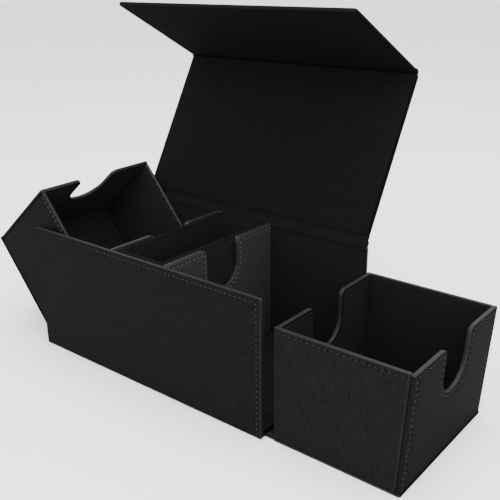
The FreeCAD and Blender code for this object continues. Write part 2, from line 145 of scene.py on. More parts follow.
def panel(outline, thick, r=0.9, rb=0.6, stitches=(), bead=0.07, field=0.0, wave=0.05, grid=4.5, seed=0, back_wave=0.0, groove=0.24, up=(0.0, 1.0), lip=(-1, 1)):
    """A covered board: rounded rims, a bead along the rim, sewn grooves, a slightly uneven face.
    Front face at c=0, back face at c=-thick. Returns (verts, faces, uv, kind) in the panel's own frame."""
    pts = [outline]
    for d in (0.07 * r, 0.26 * r, 0.55 * r, r, r + 0.6, r + 1.4, r + 2.3):
        q = inset_points(outline, True, d)
        ok = (segdist(q, outline, True) > d * 0.97) & inside(q, outline)
        pts.append(q[ok])
    for s in stitches:
        fine = s
        for d in (-1.0, -0.5, 0.0, 0.5, 1.0):
            q = inset_points(fine, False, d)
            ok = (segdist(q, outline, True) > 0.5) & inside(q, outline)
            pts.append(q[ok])
    lo, hi = outline.min(0), outline.max(0)
    gx, gy = np.meshgrid(np.arange(lo[0] + grid / 2, hi[0], grid), np.arange(lo[1] + grid / 2, hi[1], grid))
    g = np.stack([gx.ravel(), gy.ravel()], 1)
    ok = inside(g, outline)
    g = g[ok]
    keep = segdist(g, outline, True) > r + 3.2
    if stitches:
        for s in stitches:
            keep &= segdist(g, s, False) > 1.6
    pts.append(g[keep])
    n0 = len(outline)
    allp = np.concatenate(pts)
    # drop points that fall almost on one another, the outline first
    seen, idx = {}, []
    for i, p in enumerate(allp):
        k = (round(p[0] / 0.06), round(p[1] / 0.06))
        if i >= n0 and k in seen:
            continue
        seen[k] = i
        idx.append(i)
    allp = allp[idx]
    edges = [(i, (i + 1) % n0) for i in range(n0)]
    vs, es, fs, ov, oe, of = delaunay_2d_cdt([Vector((float(p[0]), float(p[1]))) for p in allp], edges, [], 0, 1e-5)
    P = np.array([(v.x, v.y) for v in vs])
    tri = np.array([f for f in fs if len(f) == 3], int)
    cen = P[tri].mean(1)
    tri = tri[inside(cen, outline)]
    a, b, c = P[tri[:, 0]], P[tri[:, 1]], P[tri[:, 2]]
    area = (b[:, 0] - a[:, 0]) * (c[:, 1] - a[:, 1]) - (b[:, 1] - a[:, 1]) * (c[:, 0] - a[:, 0])
    tri = np.where(area[:, None] < 0, tri[:, ::-1], tri)
    tri = tri[np.abs(area) > 1e-7]
    rim = []
    back = {}
    for new, olds in enumerate(ov):
        for o in olds:
            back[o] = new
    rim = [back[i] for i in range(n0)]
    used = np.unique(np.concatenate([tri.ravel(), rim]))
    remap = -np.ones(len(P), int); remap[used] = np.arange(len(used))
    P = P[used]; tri = remap[tri]; rim = remap[rim]
    d = segdist(P, outline, True)
    d[rim] = 0
    s = np.full(len(P), 99.0)
    for st in stitches:
        s = np.minimum(s, segdist(P, st, False))

    def roll(dd, rad):
        e = np.clip(rad - dd, 0, rad)
        return -(rad - np.sqrt(np.maximum(rad * rad - e * e, 0)))
    h = roll(d, r)
    h += bead * np.exp(-((d - r - 0.5) / 0.8) ** 2) * (d > 0)
    h -= bead * 0.9
    h[rim] = -r
    inner = np.clip((d - r - 1.2) / 3.0, 0, 1)
    if stitches:
        h -= groove * np.exp(-(s / 0.6) ** 2)
    h += field * inner
    w = np.array([noise.noise(Vector((p[0] / 21.0 + seed * 3.7, p[1] / 27.0, seed * 1.9))) + 0.5 * noise.noise(Vector((p[0] / 8.0, p[1] / 9.0 + seed, 4.1))) for p in P])
    h += wave * w * inner
    h[rim] = -r
    hb = -thick - roll(d, rb)
    hb[rim] = -thick + rb
    hb += back_wave * w * inner
    n = len(P)
    verts = np.concatenate([np.column_stack([P, h]), np.column_stack([P, hb])])
    faces = [tuple(t) for t in tri] + [(t[2] + n, t[1] + n, t[0] + n) for t in tri]
    dc, pc = d[tri].mean(1), P[tri].mean(1)
    edge = np.roll(outline, -1, axis=0) - outline
    out_n = np.stack([edge[:, 1], -edge[:, 0]], 1) / np.maximum(np.linalg.norm(edge, axis=1, keepdims=True), 1e-9)
    mid = (np.roll(outline, -1, axis=0) + outline) / 2
    far = np.minimum(mid - outline.min(0), outline.max(0) - mid).min(1)
    # kinds 2 and 3 are the rim faces along edges that face up or line the notch; the materials given for them are
    # lighter copies, a painted highlight on the rolled rims. Kinds 4 and 5 are the other rim faces; where a lighter
    # edge material is given for them, that is a painted highlight too.
    highlight_edge = (out_n @ np.array(up) > 0.25) | (far > 1.5)
    highlight_face, side = np.zeros(len(tri), bool), np.zeros(len(tri), bool)
    for i in np.nonzero(dc < max(r, rb) + 0.3)[0]:
        k = np.argmin(((mid - pc[i]) ** 2).sum(1))
        highlight_face[i] = highlight_edge[k]
        side[i] = not highlight_edge[k] and any(out_n[k, 0] * v > 0.5 for v in lip)
    kind = [3 if l and v < r * 0.4 else 5 if e else 0 for v, l, e in zip(dc, highlight_face, side)] + [3 if l and v < rb * 0.8 else 1 for v, l in zip(dc, highlight_face)]
    m = len(rim)
    for i in range(m):
        i0, i1 = rim[i], rim[(i + 1) % m]
        faces.append((i0, i0 + n, i1 + n, i1)); kind.append(2 if highlight_edge[i] else 4)
    uv = np.concatenate([P, P + np.array([0.0, 300.0])])
    return verts, faces, uv, kind


def sheetmesh(parts):
    """Joins (verts, faces, uv, kind, matrix, materials by kind) into one set."""
    V, F, U, K = [], [], [], []
    off = 0
    for verts, faces, uv, kind, M, mats in parts:
        v = (M[:3, :3] @ verts.T).T + M[:3, 3]
        flip = np.linalg.det(M[:3, :3]) < 0
        V.append(v); U.append(uv)
        for f, k in zip(faces, kind):
            g = tuple(i + off for i in (f[::-1] if flip else f))
            F.append(g); K.append(mats[k])
        off += len(verts)
    return np.concatenate(V), F, np.concatenate(U), K


def emit(name, parts, materials, body=None, replaces=(), warp=None):
    V, F, U, K = sheetmesh(parts)
    if warp:
        V = warp(V)
    me = bpy.data.meshes.new(name)
    me.from_pydata((V * MM).tolist(), [], F)
    for m in materials:
        me.materials.append(m)
    me.polygons.foreach_set("material_index", np.array(K, np.int32))
    me.polygons.foreach_set("use_smooth", np.ones(len(F), bool))
    uvl = me.uv_layers.new(name="UVMap")
    li = np.zeros(len(me.loops), np.int32)
    me.loops.foreach_get("vertex_index", li)
    uvl.data.foreach_set("uv", (U[li] * 0.01).astype(np.float32).ravel())
    me.validate(); me.update()
    ob = bpy.data.objects.new(name, me)
    bpy.context.scene.collection.objects.link(ob)
    for nodename in replaces:
        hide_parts(nodename)
    if body:
        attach(ob, body)
    return ob


def thread(lines, height, pitch=3.55, dash=1.9, rad=0.30):
    """Sewn dashes along polylines: small capsules, sunk in the groove."""
    V, F, U = [], [], []
    off = 0
    prof = [(-1.0, 0.0), (-0.93, 0.55), (-0.75, 0.9), (0.0, 1.0), (0.75, 0.9), (0.93, 0.55), (1.0, 0.0)]
    ring = 8
    for line in lines:
        seg = np.linalg.norm(np.diff(line, axis=0), axis=1)
        cum = np.concatenate([[0], np.cumsum(seg)])
        total = cum[-1]
        n = max(1, int(round(total / pitch)))
        p = total / n
        for k in range(n):
            c = (k + 0.5) * p
            ends = [np.array([np.interp(c + e * dash / 2, cum, line[:, 0]), np.interp(c + e * dash / 2, cum, line[:, 1])]) for e in (-1, 1)]
            m = (ends[0] + ends[1]) / 2
            t = ends[1] - ends[0]; t = t / max(np.linalg.norm(t), 1e-9)
            nrm = np.array([-t[1], t[0]])
            for x, rr in prof:
                for j in range(ring):
                    a = 2 * math.pi * j / ring
                    q = m + t * x * dash / 2 + nrm * rad * rr * math.cos(a)
                    V.append((q[0], q[1], height + 0.10 * (1 - x * x) + rad * rr * math.sin(a)))
                    U.append((q[0] * 3 + j, q[1] * 3))
            for i in range(len(prof) - 1):
                for j in range(ring):
                    a0 = off + i * ring + j; a1 = off + i * ring + (j + 1) % ring
                    F.append((a0, a0 + ring, a1 + ring, a1))
            off += ring * len(prof)
    return np.array(V), F, np.array(U), [0] * len(F)


def holes(lines, height, pitch=3.55, rad=0.55):
    """The needle holes between the dashes: small near-black lens shapes in the groove, painted shade for the depth of
    each hole.
    """
    V, F, U = [], [], []
    for line in lines:
        cum = np.concatenate([[0], np.cumsum(np.linalg.norm(np.diff(line, axis=0), axis=1))])
        n = max(1, int(round(cum[-1] / pitch)))
        for k in range(1, n):
            c = k * cum[-1] / n
            x, y = np.interp(c, cum, line[:, 0]), np.interp(c, cum, line[:, 1])
            o = len(V)
            for j in range(6):
                V.append((x + rad * math.cos(j * math.pi / 3), y + rad * math.sin(j * math.pi / 3), height)); U.append((x, y))
            V.append((x, y, height + 0.14)); V.append((x, y, height - 0.2)); U += [(x, y)] * 2
            for j in range(6):
                F.append((o + j, o + (j + 1) % 6, o + 6)); F.append((o + (j + 1) % 6, o + j, o + 7))
    return np.array(V), F, np.array(U), [0] * len(F)


def ribbon(path, x0, x1, t_out, t_in, step=4.0):
    """A strip along X following a path in the (y, z) plane. t_out and t_in are its thickness to either side.
    kind 0 is the outer side (left of the path), 1 the inner side, 2 the ends."""
    path = np.array(path, float)
    g = np.gradient(path, axis=0); g /= np.linalg.norm(g, axis=1, keepdims=True)
    nrm = np.stack([-g[:, 1], g[:, 0]], 1)
    loop = [path[0] + nrm[0] * 0.0]
    share = np.linspace(0, 1, len(path))
    grow = lambda t: np.interp(share, np.linspace(0, 1, len(t)), t) if isinstance(t, (list, tuple)) else np.full(len(path), t)
    outer = [p + n * t for p, n, t in zip(path, nrm, grow(t_out))]
    inner = [p - n * t for p, n, t in zip(path, nrm, grow(t_in))]
    loop = outer + inner[::-1]
    xs = np.linspace(x0, x1, max(2, int((x1 - x0) / step) + 1))
    m = len(loop); V, F, K, U = [], [], [], []
    arc = np.concatenate([[0], np.cumsum(np.linalg.norm(np.diff(np.array(loop), axis=0), axis=1))])
    for x in xs:
        for i, (y, z) in enumerate(loop):
            V.append((x, y, z)); U.append((x, arc[i]))
    for i in range(len(xs) - 1):
        for j in range(m):
            a, b = i * m + j, i * m + (j + 1) % m
            F.append((a, b, b + m, a + m)); K.append(0 if j < len(path) - 1 else 1)
    for base, order in ((0, -1), ((len(xs) - 1) * m, 1)):
        for j in range(len(path) - 1):
            q = (base + j, base + j + 1, base + m - 2 - j, base + m - 1 - j)
            F.append(q if order > 0 else q[::-1]); K.append(2)
    V = np.array(V)
    # centre of the cross-section, not used; the callers turn the winding outward
    c = np.array(V)[:, 1:].mean(0)
    return V, F, np.array(U), K


# ------------------------------------------------------------ materials
def nodes_of(name):
    m = bpy.data.materials.new(name)
    m.use_nodes = True
    nt = m.node_tree
    for n in list(nt.nodes):
        nt.nodes.remove(n)
    out = nt.nodes.new("ShaderNodeOutputMaterial")
    b = nt.nodes.new("ShaderNodeBsdfPrincipled")
    nt.links.new(b.outputs[0], out.inputs[0])
    return m, nt, b


def tex(nt, coord, scale, kind="noise", detail=3.0, rough=0.55, size=1.0):
    src = nt.nodes.new("ShaderNodeTexCoord")
    mp = nt.nodes.new("ShaderNodeMapping")
    mp.inputs["Scale"].default_value = scale
    nt.links.new(src.outputs[coord], mp.inputs["Vector"])
    if kind == "noise":
        t = nt.nodes.new("ShaderNodeTexNoise")
        t.inputs["Scale"].default_value = size
        t.inputs["Detail"].default_value = detail
        t.inputs["Roughness"].default_value = rough
        nt.links.new(mp.outputs[0], t.inputs["Vector"])
        return t.outputs["Fac"]
    t = nt.nodes.new("ShaderNodeTexVoronoi")
    t.inputs["Scale"].default_value = size
    nt.links.new(mp.outputs[0], t.inputs["Vector"])
    return t.outputs["Distance"]


def ramp(nt, fac, lo, hi, p0=0.3, p1=0.7):
    r = nt.nodes.new("ShaderNodeValToRGB")
    r.color_ramp.elements[0].position = p0
    r.color_ramp.elements[1].position = p1
    r.color_ramp.elements[0].color = (*lo, 1) if isinstance(lo, tuple) else (lo, lo, lo, 1)
    r.color_ramp.elements[1].color = (*hi, 1) if isinstance(hi, tuple) else (hi, hi, hi, 1)
    nt.links.new(fac, r.inputs[0])
    return r.outputs[0]


def bump(nt, height, strength, dist, normal=None):
    b = nt.nodes.new("ShaderNodeBump")
    b.inputs["Strength"].default_value = strength
    b.inputs["Distance"].default_value = dist
    nt.links.new(height, b.inputs["Height"])
    if normal is not None:
        nt.links.new(normal, b.inputs["Normal"])
    return b.outputs[0]


def leather(name, base, rough, grain=1.0, spec=0.30, streak=(220, 14, 1), contrast=0.35, coord="UV"):
    m, nt, b = nodes_of(name)
    k = 1.0 if coord == "UV" else 10.0
    s1 = tex(nt, coord, tuple(v * k for v in streak), detail=4.0, rough=0.6)
    s2 = tex(nt, coord, (90 * k, 90 * k, 90 * k), detail=4.0, rough=0.6)
    lo = tuple(c * (1 - contrast) for c in base); hi = tuple(c * (1 + contrast) for c in base)
    nt.links.new(ramp(nt, s1, lo, hi), b.inputs["Base Color"])
    nt.links.new(ramp(nt, s2, rough - 0.06, rough + 0.08), b.inputs["Roughness"])
    b.inputs["Specular IOR Level"].default_value = spec
    n1 = bump(nt, s1, 0.35 * grain, 0.00022)
    n2 = bump(nt, s2, 0.25, 0.00010, n1)
    nt.links.new(n2, b.inputs["Normal"])
    return m


def velvet(name, base, sheen=0.25, rough=0.95, spec=0.08, coord="UV"):
    m, nt, b = nodes_of(name)
    k = 1.0 if coord == "UV" else 10.0
    s1 = tex(nt, coord, (14 * k, 14 * k, 14 * k), detail=5.0, rough=0.65)
    s2 = tex(nt, coord, (260 * k, 260 * k, 260 * k), detail=3.0)
    lo = tuple(c * 0.86 for c in base); hi = tuple(c * 1.14 for c in base)
    nt.links.new(ramp(nt, s1, lo, hi), b.inputs["Base Color"])
    b.inputs["Roughness"].default_value = rough
    b.inputs["Specular IOR Level"].default_value = spec
    b.inputs["Sheen Weight"].default_value = sheen
    b.inputs["Sheen Roughness"].default_value = 0.45
    b.inputs["Sheen Tint"].default_value = (0.5, 0.5, 0.5, 1)
    nt.links.new(bump(nt, s2, 0.5, 0.00025), b.inputs["Normal"])
    return m


M_BRUSH = leather("leatherette_brushed", (0.0054, 0.0054, 0.0056), 0.58, grain=1.5, spec=0.012, contrast=0.45)
M_SMOOTH = leather("leatherette_smooth", (0.0021, 0.0021, 0.0022), 0.58, grain=0.5, spec=0.010, streak=(60, 50, 1), contrast=0.18)
# painted highlight: a lighter copy of the leatherette for the rounded edges of the case front, the trays' front and
# back walls and the lid
M_EDGE_HIGHLIGHT = leather("leatherette_edge_painted_highlight", (0.0078, 0.0078, 0.0081), 0.52, grain=0.5, spec=0.04, streak=(60, 50, 1), contrast=0.18)
# painted light: a much lighter copy of the leatherette for the divider faces, which stand in the shade between the
# walls
M_DIVIDER_LIT = leather("leatherette_divider_painted_light", (0.0195, 0.0195, 0.0205), 0.52, grain=0.5, spec=0.06, streak=(60, 50, 1), contrast=0.18)
M_OBJ = leather("leatherette_plain", (0.0040, 0.0040, 0.0042), 0.50, grain=0.5, spec=0.05, streak=(60, 50, 60), contrast=0.18, coord="Object")
# painted highlight: the rim material is a lighter copy of the leatherette for the rolled rims that face up
M_RIM_HIGHLIGHT = leather("leatherette_rim_painted_highlight", (0.0116, 0.0116, 0.0120), 0.46, grain=0.4, spec=0.10, streak=(60, 50, 1), contrast=0.2)
# painted light: a lighter copy of the thread for the divider stitches
M_THREAD_DIVIDER_LIT = leather("thread_divider_painted_light", (0.050, 0.050, 0.051), 0.60, grain=0.3, spec=0.12, streak=(300, 300, 1), contrast=0.3)
# painted highlight: a slightly dimmer copy of the rim material for the case walls' rims
M_CASE_RIM_HIGHLIGHT = leather("leatherette_rim_case_painted_highlight", (0.0115, 0.0115, 0.0119), 0.50, grain=0.4, spec=0.06, streak=(60, 50, 1), contrast=0.2)
# painted light: a lighter copy of the brushed leatherette for the right tray's front and back walls
M_TRAY_LIT = leather("leatherette_tray_painted_light", (0.0066, 0.0066, 0.0069), 0.58, grain=1.5, spec=0.012, contrast=0.42)
# painted shade: near-black for the needle holes, which are small lens bumps rather than real holes
M_HOLE_SHADE = leather("needle_hole_painted_shade", (0.0010, 0.0010, 0.0010), 0.9, grain=0.1, spec=0.0, streak=(60, 50, 1), contrast=0.2)
M_VELVET = velvet("velvet_black", (0.0068, 0.0068, 0.0068), sheen=0.06, spec=0.02)
# painted light: a lighter copy of the velvet for the tray floors, against the shade down in the tray
M_FLOOR_LIT = velvet("velvet_floor_painted_light", (0.0130, 0.0130, 0.0130), sheen=0.06, spec=0.02)
M_BASE = velvet("velvet_case_floor", (0.0075, 0.0075, 0.0075), sheen=0.04, spec=0.02, coord="Object")
# painted shade: a darker copy of the microfibre, without sheen, for the inner box's top rim, in place of the highlight
# it would catch
M_SOFTRIM_SHADED = velvet("microfibre_rim_painted_shade", (0.0050, 0.0050, 0.0051), sheen=0.0, spec=0.01)
# painted shade: a darker copy of the velvet for the inner faces of the tray end walls
M_END_SHADED = velvet("velvet_end_painted_shade", (0.0045, 0.0045, 0.0045), sheen=0.04, spec=0.02)
# painted shade: darker copies of the velvet for the open lid's lining and the flap's underside, which face the lights
# and the pale floor
M_LID_SHADED = velvet("velvet_lid_painted_shade", (0.0043, 0.0043, 0.0043), sheen=0.06, spec=0.02)
M_FLAP_SHADED = velvet("velvet_flap_painted_shade", (0.0035, 0.0035, 0.0035), sheen=0.01, spec=0.01)
M_SOFT = velvet("microfibre_grey_black", (0.0076, 0.0076, 0.0078), sheen=0.03, spec=0.02)
M_THREAD = leather("thread_black", (0.018, 0.018, 0.0185), 0.60, grain=0.3, spec=0.10, streak=(300, 300, 1), contrast=0.3)
# painted light: a lighter copy of the thread for the left tray's stitches
M_THREAD_LEFT_TRAY_LIT = leather("thread_left_tray_painted_light", (0.034, 0.034, 0.035), 0.60, grain=0.3, spec=0.10, streak=(300, 300, 1), contrast=0.3)
# painted shade: darker copies of the thread for the case front's left-hand stitches; the mid copy also sews the right
# tray's front and back walls
M_THREAD_LOW_SHADED = leather("thread_case_left_painted_shade", (0.0100, 0.0100, 0.0103), 0.60, grain=0.3, spec=0.05, streak=(300, 300, 1), contrast=0.3)
M_THREAD_MID_SHADED = leather("thread_mid_painted_shade", (0.0135, 0.0135, 0.0139), 0.60, grain=0.3, spec=0.08, streak=(300, 300, 1), contrast=0.3)
# painted highlight: a brighter copy of the rim material for the rim of the left tray's local front wall
M_BACK_RIM_HIGHLIGHT = leather("leatherette_rim_back_painted_highlight", (0.0260, 0.0260, 0.0265), 0.46, grain=0.4, spec=0.12, streak=(60, 50, 1), contrast=0.2)
# painted highlight: a lighter copy of the leatherette for the rim of the trays' base panels
M_LIP_HIGHLIGHT = leather("leatherette_lip_painted_highlight", (0.0125, 0.0125, 0.0128), 0.50, grain=0.3, spec=0.06, streak=(60, 50, 1), contrast=0.15)
M_STRIP = leather("leatherette_strip", (0.0090, 0.0090, 0.0093), 0.52, grain=0.5, spec=0.04, streak=(60, 50, 60), contrast=0.18, coord="Object")
M_BOARD = velvet("greyboard", (0.20, 0.19, 0.175), sheen=0.0, rough=0.9, spec=0.2, coord="Object")
M_STEEL = leather("magnet_plate", (0.45, 0.45, 0.46), 0.35, grain=0.3, spec=0.5, coord="Object")
M_STEEL.node_tree.nodes["Principled BSDF"].inputs["Metallic"].default_value = 1.0

for name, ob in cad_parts.items():
    mat = M_BOARD
    if "magnet" in name:
        mat = M_STEEL
    elif name.endswith("_cover") or name.endswith("_strip") or name == "flap_board":
        mat = M_OBJ
    elif name == "case_floor_lining":
        mat = M_BASE
    elif name.endswith("_lining"):
        mat = M_VELVET
    ob.data.materials.clear()
    ob.data.materials.append(mat)

# ------------------------------------------------------------ walls of the shell
LEA = [M_BRUSH, M_SMOOTH, M_THREAD, M_RIM_HIGHLIGHT, M_HOLE_SHADE, M_DIVIDER_LIT, M_EDGE_HIGHLIGHT, M_THREAD_DIVIDER_LIT, M_CASE_RIM_HIGHLIGHT, M_TRAY_LIT, M_THREAD_LEFT_TRAY_LIT, M_THREAD_LOW_SHADED, M_THREAD_MID_SHADED, M_LIP_HIGHLIGHT, M_BACK_RIM_HIGHLIGHT]


def rect(x0, x1, y0, y1, r=0.9):
    return rounded([(x0, y0, r), (x1, y0, r), (x1, y1, r), (x0, y1, r)])


def stitch_u(x0, x1, y0, y1, inset, low):
    """Down one side, along the top, down the other."""
    return rounded([(x0 + inset, low, 0), (x0 + inset, y1 - inset, 1.5), (x1 - inset, y1 - inset, 1.5), (x1 - inset, low, 0)], closed=False, step=1.2)


# by default the rim faces (kinds 2 and 3) take the rim material, a painted highlight
def wrapped(name, outline, M, thick, body, replaces, stitches=(), mats=(0, 0, 3, 3), materials=None, slot="leatherette", seam=2, warp=None, **kw):
    kw.setdefault("up", (M[2, 0], M[2, 1]))
    base = panel(outline, thick, stitches=stitches, **kw)
    mats = tuple(mats) + (mats[0],) * (6 - len(mats))
    parts = [(*base, M, {k: mats[k] for k in range(6)})]
    if len(stitches):
        level = -0.9 * kw.get("bead", 0.07)
        for lines, colour in (seam if isinstance(seam, list) else [(stitches, seam)]):
            t = thread(lines, level - 0.10)
            parts.append((*t, M, {0: colour}))
        # near-black lens shapes: painted shade for the needle holes
        t = holes(stitches, level - kw.get("groove", 0.24) + 0.03)
        parts.append((*t, M, {0: 4}))
    return emit(name, parts, materials or LEA, body, replaces, warp)


FRONT = axes(X, Z, -Y, (0, -54.3, 0))
BACK = axes(-X, Z, Y, (0, 54.5, 0))
o = rect(-98, 98, 0, 88, 1.2)
u = stitch_u(-98, 98, 0, 88, 3.1, 0.6)
cut = [int(np.argmin(np.abs(u[:, 0] - v) + 50 * (u[:, 1] < 84))) for v in (-94, -40)]
cut = sorted(cut)
pieces = [u[:cut[0] + 1], u[cut[0]:cut[1] + 1], u[cut[1]:]]
pieces = pieces if u[0, 0] < 0 else pieces[::-1]
# the case front's three stitch runs take darker thread copies towards the left: painted shade falling off away from
# the light
wrapped("case_front_panel", o, FRONT, 2.5, "case", ["front_wall_cover"], [u], seam=[([pieces[0]], 11), ([pieces[1]], 12), ([pieces[2]], 2)], mats=(0, 0, 8, 8, 6, 6), lip=(1,), seed=1)
o = rect(-100.4, 98, 0, 86.3, 1.2)
wrapped("case_back_panel", o, BACK, 2.7, "case", ["back_wall_cover"],
        [np.array([[-97.3, y] for y in np.arange(0.6, 86.0, 1.2)]), np.array([[94.9, y] for y in np.arange(0.6, 86.0, 1.2)])], mats=(0, 0, 3, 3, 3), seed=2)
# tray velvet list: walls, a lighter floor copy (painted light), thread, a darker end-wall copy (painted shade)
VEL = [M_VELVET, M_FLOOR_LIT, M_THREAD, M_END_SHADED]
for name, s, top, node_name in (("case_front_velvet", -1, 86.6, "front_wall_lining"), ("case_back_velvet", 1, 85.0, "back_wall_lining")):
    M = axes(X * s, Z, -Y * s, (0, 51.5 * s, 0))
    wrapped(name, rect(-97.0, 97.0 if s < 0 else 99.0, 3.2, top, 0.6), M, 0.42, "case", [node_name], r=0.22, rb=0.12, bead=0.0, wave=0.10, mats=(0, 0, 0, 0), materials=VEL, slot="velvet", seed=3 + s)


def notched(x0, x1, y0, top, w=14.5, depth=31.0, mouth=4.5, r=0.9, inset=0.0):
    w2 = w + inset
    d = depth + inset
    m = max(mouth - inset, 0.8)
    return [(x0, y0, r), (x1, y0, r), (x1, top, r), (w2, top, m), (w2, top - d, w2 - 0.01), (-w2, top - d, w2 - 0.01), (-w2, top, m), (x0, top, r)]


def notch_stitch(x0, x1, top, i, low, sides=(True, True), w=14.5, depth=31.0, mouth=4.5):
    w2, d, m = w + i, depth + i, max(mouth - i, 1.2)
    mid = [(w2, top - i, m), (w2, top - d, w2 - 0.01), (-w2, top - d, w2 - 0.01), (-w2, top - i, m)]
    a = [(x1 - i, low, 0), (x1 - i, top - i, 1.5)] if sides[1] else [(x1 - 1.2, top - i, 0)]
    b = [(x0 + i, top - i, 1.5), (x0 + i, low, 0)] if sides[0] else [(x0 + 1.2, top - i, 0)]
    return rounded(a + mid + b, closed=False, step=1.2)


for tag, s in (("left", -1), ("right", 1)):
    # the leatherette face looks at the tray, the velvet at the inner box
    M = axes(Y * s, Z, X * s, (24.9 * s, 0, 0))
    ol = rounded(notched(-51.4, 51.4, 3.7, 88.0))
    # the divider face and its stitches take the lighter copies, painted light against the shade between the walls
    wrapped(tag + "_divider_panel", ol, M, 3.1, "case", [tag + "_divider_cover"],
            [notch_stitch(-51.4, 51.4, 88.0, 2.9, 6, (False, False))], mats=(5, 5, 3, 3), seam=7, seed=5 + s)
    M = axes(-Y * s, Z, -X * s, (21.5 * s, 0, 0))
    ol = rounded(notched(-51.3, 51.3, 3.8, 86.7, w=15.8, depth=31.0, mouth=3.5, r=0.6))
    wrapped(tag + "_divider_velvet", ol, M, 0.42, "case", [tag + "_divider_lining"], r=0.2, rb=0.12, bead=0.0, wave=0.08, mats=(0, 0, 0, 0), materials=VEL, slot="velvet", seed=8 + s)


# ------------------------------------------------------------ lift-out inner box
def ring_rect(hx, hy, rad, z, per=7, edge=2.5):
    rad = max(rad, 0.15)
    return [(x, y, z) for x, y in RR(hx, hy, rad)]


def RR(hx, hy, rad, nx=16, ny=40, k=6):
    pts = []
    for cx, cy, a0 in ((hx - rad, -(hy - rad), -90), (hx - rad, hy - rad, 0), (-(hx - rad), hy - rad, 90), (-(hx - rad), -(hy - rad), 180)):
        for j in range(k + 1):
            a = math.radians(a0 + 90.0 * j / k)
            pts.append((cx + rad * math.cos(a), cy + rad * math.sin(a)))
        n = ny if a0 in (-90, 90) else nx
        nxt = {-90: (hx, hy - rad), 0: (-(hx - rad), hy), 90: (-hx, -(hy - rad)), 180: (hx - rad, -hy)}[a0]
        x0, y0 = pts[-1]
        for j in range(1, n):
            pts.append((x0 + (nxt[0] - x0) * j / n, y0 + (nxt[1] - y0) * j / n))
    return pts


def lofted(rings, jitter=0.0, seed=0):
    V, F, U = [], [], []
    m = len(rings[0])
    arc = 0.0
    for i, ring in enumerate(rings):
        if i:
            arc += float(np.linalg.norm(np.array(ring[0]) - np.array(rings[i - 1][0])))
        per = 0.0
        for j, p in enumerate(ring):
            if j:
                per += float(np.linalg.norm(np.array(p) - np.array(ring[j - 1])))
            n = noise.noise(Vector((p[0] / 13.0 + seed, p[1] / 17.0, p[2] / 15.0))) * jitter
            c = np.array([p[0], p[1], p[2]])
            V.append((c[0] + n * np.sign(c[0]) * 0.5, c[1] + n * np.sign(c[1]) * 0.5, c[2])); U.append((per, arc))
    for i in range(len(rings) - 1):
        for j in range(m):
            a, b = i * m + j, i * m + (j + 1) % m
            F.append((a, b, b + m, a + m))
    for base, flip in ((0, True), ((len(rings) - 1) * m, False)):
        c = np.mean([V[base + j] for j in range(m)], axis=0)
        V.append(tuple(c)); U.append((0, 0)); ci = len(V) - 1
        for j in range(m):
            t = (base + j, base + (j + 1) % m, ci)
            F.append(t[::-1] if flip else t)
    return np.array(V), F, np.array(U), [0] * len(F)


wall_t, z0, z1 = 4.6, 3.7, 88.0
rings = []
for a in (0, 30, 60, 90):
    e = 1.0 * (1 - math.sin(math.radians(a)))
    rings.append(ring_rect(21 - e, 51 - e, 1.6, z0 + 1.0 * (1 - math.cos(math.radians(a)))))
for z in np.linspace(12, z1 - wall_t / 2 - 4, 12):
    rings.append(ring_rect(21, 51, 1.8, z))
for a in np.linspace(0, 180, 13):
    e = wall_t / 2 * (1 - math.cos(math.radians(a)))
    rings.append(ring_rect(21 - e, 51 - e, max(1.8 - e * 0.2, 1.0), z1 - 1.9 + 1.9 * math.sin(math.radians(a))))
for z in np.linspace(z1 - wall_t / 2 - 4, 10.5, 12):
    rings.append(ring_rect(16.4, 46.4, 1.2, z))
rings.append(ring_rect(16.2, 46.2, 1.2, 8.6))
rings.append(ring_rect(15.6, 45.6, 1.2, 8.3))
box_mesh = lofted(rings, jitter=0.25, seed=11)
# the faces along the top rim take the darker microfibre copy, painted shade
top = [1 if box_mesh[0][list(f)][:, 2].mean() > z1 - 1.9 else 0 for f in box_mesh[1]]
emit("inner_box_soft", [(box_mesh[0], box_mesh[1], box_mesh[2], top, CASE, {0: 0, 1: 1})], [M_SOFT, M_SOFTRIM_SHADED], "drawer", ["drawer_cover", "drawer_lining", "drawer_box"])


# ------------------------------------------------------------ card trays
# painted light: lighter velvet copies for the tilted left tray's walls, floor and end walls, against the shade inside
# it
VEL_LEFT = [velvet("velvet_left_walls_painted_light", (0.0098, 0.0098, 0.0098), sheen=0.05, spec=0.02), velvet("velvet_left_floor_painted_light", (0.0104, 0.0104, 0.0104), sheen=0.06, spec=0.02), M_THREAD, velvet("velvet_left_end_painted_light", (0.0062, 0.0062, 0.0062), sheen=0.05, spec=0.02)]


LEANS = {"right": (3.9, 3.7, 0.5, 1.0, 0.0, 1.3), "left": (2.2, 1.2, 0.0, 0.0, 0.5, -0.7)}


